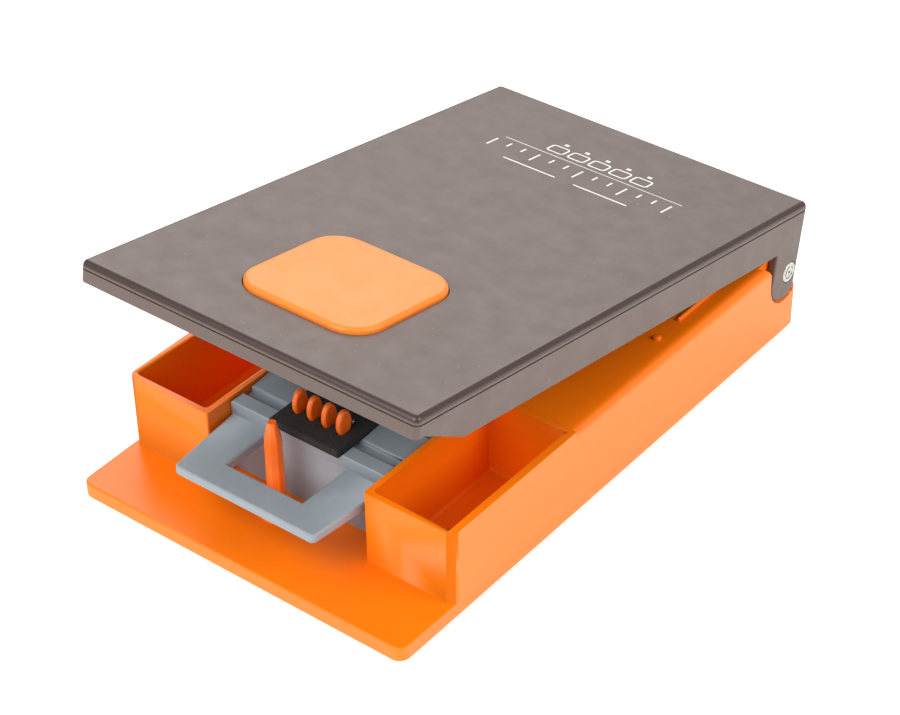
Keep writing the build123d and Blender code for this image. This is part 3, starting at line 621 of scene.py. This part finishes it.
class SplicerPad(bpy.types.Operator):
    """Makes the rubber splice pad"""

    bl_idname = "splicer.pad"
    bl_label = "Splice pad"

    def execute(self, context):
        size = context.scene.splicer_sizes
        bm = rounded_copy("splice_pad", size.pad_round)
        make_piece(bm, "splice_pad_rubber", "base", FINISHES["pad"], ["splice_pad"])
        return {"FINISHED"}


class SplicerGuides(bpy.types.Operator):
    """Makes the comb with its fins, the guide post and the registration pins"""

    bl_idname = "splicer.guides"
    bl_label = "Guides"

    def blade(self, bm, x, thick, low_z, rounding):
        """Adds a fin's blade, an oval plate with rounded rims, between low_z and the tips."""
        disc = bmesh.ops.create_circle(bm, cap_ends=True, segments=BLADE_SIDES, radius=1.0)["verts"]
        bmesh.ops.rotate(bm, matrix=Matrix.Rotation(math.pi / 2, 3, "Y"), verts=disc)
        half_deep = (COMB[1].y - COMB[0].y) / 2
        half_tall = (COMB[1].z - low_z) / 2
        centre_y = (COMB[0].y + COMB[1].y) / 2
        bmesh.ops.scale(bm, vec=(1, half_deep, half_tall), verts=disc)
        bmesh.ops.translate(bm, vec=(x - thick / 2, centre_y, low_z + half_tall), verts=disc)
        face = disc[0].link_faces[0]
        pushed = bmesh.ops.extrude_face_region(bm, geom=[face])["geom"]
        moved = [part for part in pushed if isinstance(part, bmesh.types.BMVert)]
        bmesh.ops.translate(bm, vec=(thick, 0, 0), verts=moved)
        rims = list({
            edge
            for vert in (*disc, *moved)
            for edge in vert.link_edges
            if near(edge.verts[0].co.x, edge.verts[1].co.x, WELD)
        })
        bmesh.ops.bevel(
            bm, geom=rims, offset=rounding, offset_type="OFFSET", affect="EDGES", segments=4,
            profile=0.5, material=-1,
        )

    def execute(self, context):
        size = context.scene.splicer_sizes
        places, thick = fin_places()
        centre_y = (COMB[0].y + COMB[1].y) / 2
        shank_half = (centre_y - COMB[0].y) * SHANK
        front, back = centre_y - shank_half, centre_y + shank_half
        blade_low = PAD[1].z - BLADE_SINK
        bm = bmesh.new()
        slab(bm, (COMB[0].x, front, COMB[0].z), (COMB[1].x, back, PAD[0].z))
        for x in places:
            slab(
                bm, (x - thick / 2, front, PAD[0].z - NEAR), (x + thick / 2, back, blade_low + NEAR)
            )
            self.blade(bm, x, thick, blade_low, size.fin_round)
        bmesh.ops.recalc_face_normals(bm, faces=bm.faces)
        make_piece(bm, "guide_fins", "base", FINISHES["guide"], ["guide_comb"])
        bm = rounded_copy("guide_post", size.post_round)
        make_piece(bm, "post", "base", FINISHES["guide"], ["guide_post"])
        paint("registration_pins", FINISHES["brass"])
        return {"FINISHED"}


class SplicerHingePins(bpy.types.Operator):
    """Makes the two hinge pins with their turned heads"""

    bl_idname = "splicer.hinge_pins"
    bl_label = "Hinge pins"

    def execute(self, context):
        size = context.scene.splicer_sizes
        low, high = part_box("hinge_pins")
        head = (high.z - low.z) / 2

        def rim(edge):
            away = middle(edge) - HINGE
            return near(abs(away.x), high.x, LEVEL) and near(away.yz.length, head, PIN_RIM)

        bm = frame_copy("hinge_pins")
        round_edges(bm, size.pin_round, rim)
        make_piece(bm, "pins", "base", FINISHES["pin"], ["hinge_pins"])
        return {"FINISHED"}


class SplicerLid(bpy.types.Operator):
    """Makes the brown lid with its skirt and ears"""

    bl_idname = "splicer.lid"
    bl_label = "Lid"

    def execute(self, context):
        size = context.scene.splicer_sizes
        bm = frame_copy("lid_shell", shut=True)
        crown_z = LID[1].z - LID_CROWN

        def skirt(edge):
            place = middle(edge)
            from_side = LID[1].x - abs(place.x)
            outside = min(from_side, place.y - LID[0].y, LID[1].y - place.y) < LID_WALL
            pin = (place - HINGE).yz.length < PIN_SEAT
            ear_inside = place.y > HINGE.y - EAR_REACH and from_side > EAR_FACE
            return outside and not pin and not ear_inside and place.z < crown_z

        round_edges(bm, size.skirt_round, skirt)
        # the rounded top edge is glossier and painted darker than the rest, as painted shade
        for face in bm.faces:
            if (
                face.calc_center_median().z > crown_z
                and EDGE_LEAN[0] < face.normal.z < EDGE_LEAN[1]
            ):
                face.material_index = 1
        lid = make_piece(bm, "lid", "lid", FINISHES["lid"], ["lid_shell"], shut=True)
        # the second material is the painted shade on the rounded top edge
        lid.data.materials.append(FINISHES["lid_edge_shade"])
        return {"FINISHED"}


class SplicerButton(bpy.types.Operator):
    """Makes the press button with its slightly domed top"""

    bl_idname = "splicer.button"
    bl_label = "Press button"

    def flat_top(self, bm, top_z):
        """The faces of the button's flat top with their corners and edges."""
        top = [
            face
            for face in bm.faces
            if face.normal.z > FACING_UP and near(face.calc_center_median().z, top_z, TOP_LEVEL)
        ]
        corners = {vert for face in top for vert in face.verts}
        edges = {edge for face in top for edge in face.edges}
        return [*corners, *edges, *top]

    def execute(self, context):
        size = context.scene.splicer_sizes
        bm = frame_copy("press_button", shut=True)
        top_z = BUTTON[1].z
        centre = (BUTTON[0] + BUTTON[1]) / 2
        half = (BUTTON[1] - BUTTON[0]) / 2
        for axis in (0, 1):
            normal = Vector([float(i == axis) for i in range(3)])
            for step in range(1, DOME_STRIPS):
                place = centre.copy()
                place[axis] += half[axis] * (2 * step / DOME_STRIPS - 1)
                bmesh.ops.bisect_plane(
                    bm, geom=self.flat_top(bm, top_z), dist=WELD, plane_co=place, plane_no=normal
                )
        for corner in bm.verts:
            if near(corner.co.z, top_z, TOP_LEVEL):
                across = (corner.co.x - centre.x) / half.x
                along = (corner.co.y - centre.y) / half.y
                corner.co.z += size.button_dome * (1 - across**2) * (1 - along**2)
        make_piece(
            bm, "button", "button", FINISHES["button"], ["press_button"], shut=True
        )
        return {"FINISHED"}


class SplicerPresser(bpy.types.Operator):
    """Finishes the presser below the button, with its knives and screws"""

    bl_idname = "splicer.presser"
    bl_label = "Presser and knives"

    def execute(self, context):
        size = context.scene.splicer_sizes
        bm = rounded_copy("presser_block", size.fine_round, shut=True)
        make_piece(
            bm, "presser", "button", FINISHES["block"], ["presser_block"],
            shut=True,
        )
        paint("presser_face", FINISHES["face"])
        paint("trim_knives", FINISHES["knife"])
        for node in ("block_screws", "knife_screws"):
            paint(node, FINISHES["screw"])
        return {"FINISHED"}


class SplicerRetainer(bpy.types.Operator):
    """Finishes the plate that holds the button, its screws and the springs"""

    bl_idname = "splicer.retainer"
    bl_label = "Retainer and springs"

    def execute(self, context):
        size = context.scene.splicer_sizes
        bm = rounded_copy("button_retainer", size.fine_round, shut=True)
        make_piece(
            bm, "retainer", "lid", FINISHES["retainer"], ["button_retainer"],
            shut=True,
        )
        paint("retainer_screws", FINISHES["screw"])
        bm = frame_copy("button_springs")
        springs = make_piece(
            bm, "springs", "lid", FINISHES["spring"], ["button_springs"]
        )
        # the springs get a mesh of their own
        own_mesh(springs)
        return {"FINISHED"}


class SplicerMark(bpy.types.Operator):
    """Prints a plain mark on the lid: a rule, a strip of frames and a row of ticks"""

    bl_idname = "splicer.mark"
    bl_label = "Printed mark"

    line = 0.42 * MM                   # width of a printed line
    from_back = 24.2 * MM              # the rule, in from the lid's back edge
    rule_ends = (-22.7 * MM, 24.7 * MM)
    frame_count = 5
    frame_pitch = 5.6 * MM
    frame_middle_x = 0.6 * MM
    frame_rise = 3.4 * MM              # middle of the frames behind the rule
    frame_wide, frame_deep = 4.7 * MM, 3.8 * MM
    frame_corner = 0.9 * MM
    knob_half = 0.55 * MM              # a short bar behind each frame
    knob_from, knob_to = 6.4 * MM, 7.3 * MM
    tick_gaps = 12
    tick_pitch = 3.9 * MM
    tick_drop = 2 * MM                 # the ticks start this far before the rule
    tick_long, tick_short = 4.4 * MM, 2.2 * MM
    tick_group = 3                     # every third tick is long
    dash_from_middle = 9.5 * MM
    dash_half = 7 * MM
    dash_drop = 9.6 * MM               # the two dashes lie this far before the rule

    def window(self, bm, x, y, z):
        """Adds the outline of a film frame with round corners."""
        outline = bmesh.ops.create_circle(bm, cap_ends=True, segments=4, radius=1.0)["verts"]
        bmesh.ops.rotate(bm, matrix=Matrix.Rotation(math.pi / 4, 3, "Z"), verts=outline)
        to_side = math.sqrt(0.5)       # from a square's corner radius to half its side
        scale = (self.frame_wide * to_side, self.frame_deep * to_side, 1)
        bmesh.ops.scale(bm, vec=scale, verts=outline)
        bmesh.ops.translate(bm, vec=(x, y, z), verts=outline)
        bmesh.ops.bevel(
            bm, geom=outline, offset=self.frame_corner, offset_type="OFFSET", affect="VERTICES",
            segments=4, profile=0.5, material=-1,
        )
        places = {face: face.calc_center_median() for face in bm.faces if face.is_valid}
        here = [
            face
            for face, place in places.items()
            if place.z > z - WELD and near(place.x, x) and near(place.y, y)
        ]
        face = max(here, key=lambda found: found.calc_area())
        bmesh.ops.inset_region(bm, faces=[face], thickness=self.line, depth=0, use_boundary=True)
        bmesh.ops.delete(bm, geom=[face], context="FACES")

    def execute(self, context):
        size = context.scene.splicer_sizes
        bm = bmesh.new()
        under = LID[1].z - size.print_thick / 2
        over = LID[1].z + size.print_thick
        rule_y = LID[1].y - self.from_back
        half_line = self.line / 2

        def bar(x0, x1, y0, y1):
            slab(bm, (x0, rule_y + y0, under), (x1, rule_y + y1, over))

        bar(*self.rule_ends, -half_line / 2, half_line / 2)
        for step in range(self.frame_count):
            x = self.frame_middle_x + (step - self.frame_count // 2) * self.frame_pitch
            self.window(bm, x, rule_y + self.frame_rise, over)
            bar(x - self.knob_half, x + self.knob_half, self.knob_from, self.knob_to)
        for step in range(self.tick_gaps + 1):
            x = (step - self.tick_gaps / 2) * self.tick_pitch
            tall = self.tick_short if step % self.tick_group else self.tick_long
            bar(x - half_line, x + half_line, -self.tick_drop - tall, -self.tick_drop)
        for side in (-1, 1):
            x = side * self.dash_from_middle
            bar(
                x - self.dash_half, x + self.dash_half, -self.dash_drop, self.line - self.dash_drop
            )
        make_piece(bm, "printed_mark", "lid", FINISHES["mark"], shut=True)
        return {"FINISHED"}


class SplicerStageSet(bpy.types.Operator):
    """Sets the table, the lights and the camera"""

    bl_idname = "splicer.stage"
    bl_label = "Stage"

    table_half = 3.0
    light_reach = 0.95                 # from the object's middle to each light
    right_way = Vector((0.9, 0.25, 0.6)).normalized()
    front_way = Vector((-0.1, -0.75, 0.65)).normalized()
    wide_light, small_light = 0.7, 0.5
    sensor_mm = 36
    nearest = 0.01                     # the camera sees nothing nearer than this

    def make_table(self, scene):
        """Adds the table and its pale paper."""
        bm = bmesh.new()
        bmesh.ops.create_grid(bm, x_segments=1, y_segments=1, size=self.table_half)
        mesh = bpy.data.meshes.new("table")
        bm.to_mesh(mesh)
        bm.free()
        table = bpy.data.objects.new("table", mesh)
        scene.collection.objects.link(table)
        paper = Finish("table_pale", scene.splicer_colours.floor, 0.6)
        paper.shader.inputs["Emission Color"].default_value = (1, 1, 1, 1)
        paper.shader.inputs["Emission Strength"].default_value = scene.splicer_stage.glow
        paper.set_colour(paper.tones(paper.noise(60 * MM, 2), 0.985, 1.01))
        paper.bump(paper.noise(0.6 * MM, 3), 0.01 * MM, 0.3)
        mesh.materials.append(paper.material)

    def make_light(self, scene, name, way, wide, watts):
        """Adds a soft square light that looks at the object's middle from one way."""
        light = bpy.data.lights.new(name, "AREA")
        light.size = wide
        light.energy = watts
        lamp = bpy.data.objects.new(name, light)
        lamp.location = (cad_low + cad_high) / 2 + way * self.light_reach
        lamp.rotation_mode = "QUATERNION"
        lamp.rotation_quaternion = way.to_track_quat("Z", "Y")
        scene.collection.objects.link(lamp)

    def execute(self, context):
        scene = context.scene
        stage = scene.splicer_stage
        self.make_table(scene)
        world = bpy.data.worlds.new("soft_sky")
        world.use_nodes = True
        sky = world.node_tree.nodes["Background"]
        sky.inputs["Color"].default_value = (1, 1, 1, 1)
        sky.inputs["Strength"].default_value = stage.sky
        scene.world = world

        back = Vector((
            math.sin(stage.azimuth) * math.cos(stage.elevation),
            -math.cos(stage.azimuth) * math.cos(stage.elevation),
            math.sin(stage.elevation),
        ))
        beyond = Vector((-back.x, -back.y, back.z))
        self.make_light(scene, "key", beyond, self.wide_light, stage.key)
        self.make_light(scene, "fill", self.right_way, self.small_light, stage.fill)
        self.make_light(scene, "front", self.front_way, self.wide_light, stage.front)

        lens = bpy.data.cameras.new("camera")
        lens.lens = stage.lens
        lens.sensor_width = self.sensor_mm
        lens.clip_start = self.nearest
        camera = bpy.data.objects.new("camera", lens)
        right = Vector((math.cos(stage.azimuth), math.sin(stage.azimuth), 0))
        up = back.cross(right)
        cos, sin = math.cos(stage.roll), math.sin(stage.roll)
        axes = Matrix((cos * right + sin * up, cos * up - sin * right, back)).transposed()
        camera.matrix_world = Matrix.Translation(Vector(stage.spot)) @ axes.to_4x4()
        scene.collection.objects.link(camera)
        scene.camera = camera
        scene.view_settings.view_transform = "Standard"
        return {"FINISHED"}


OPERATORS = (
    SplicerHousing, SplicerUnderside, SplicerFilmBed, SplicerPad, SplicerGuides, SplicerHingePins,
    SplicerLid, SplicerButton, SplicerPresser, SplicerRetainer, SplicerMark, SplicerStageSet,
)


class SplicerPanel(bpy.types.Panel):
    """The splicer's pieces and settings"""

    bl_idname = "VIEW3D_PT_splicer"
    bl_label = "Film tape splicer"
    bl_space_type = "VIEW_3D"
    bl_region_type = "UI"
    bl_category = "Splicer"

    def draw(self, context):
        """Lists the settings and a button for each operator."""
        for group in ("splicer_sizes", "splicer_colours", "splicer_stage"):
            box = self.layout.box()
            settings = getattr(context.scene, group)
            for name in settings.__annotations__:
                box.prop(settings, name)
        for operator in OPERATORS:
            self.layout.operator(operator.bl_idname)


GROUPS = {
    "splicer_sizes": SplicerSizes,
    "splicer_colours": SplicerColours,
    "splicer_stage": SplicerStage,
}


def register():
    """Registers the settings, the operators and the panel."""
    for kind in (*GROUPS.values(), *OPERATORS, SplicerPanel):
        bpy.utils.register_class(kind)
    for name, kind in GROUPS.items():
        setattr(bpy.types.Scene, name, bpy.props.PointerProperty(type=kind))


def unregister():
    """Takes all of it away again."""
    for name in GROUPS:
        delattr(bpy.types.Scene, name)
    for kind in reversed((*GROUPS.values(), *OPERATORS, SplicerPanel)):
        bpy.utils.unregister_class(kind)


def main():
    """Makes every piece."""
    register()
    FINISHES.update(make_finishes())
    for operator in OPERATORS:
        family, name = operator.bl_idname.split(".")
        getattr(getattr(bpy.ops, family), name)()


if __name__ == "__main__":
    main()
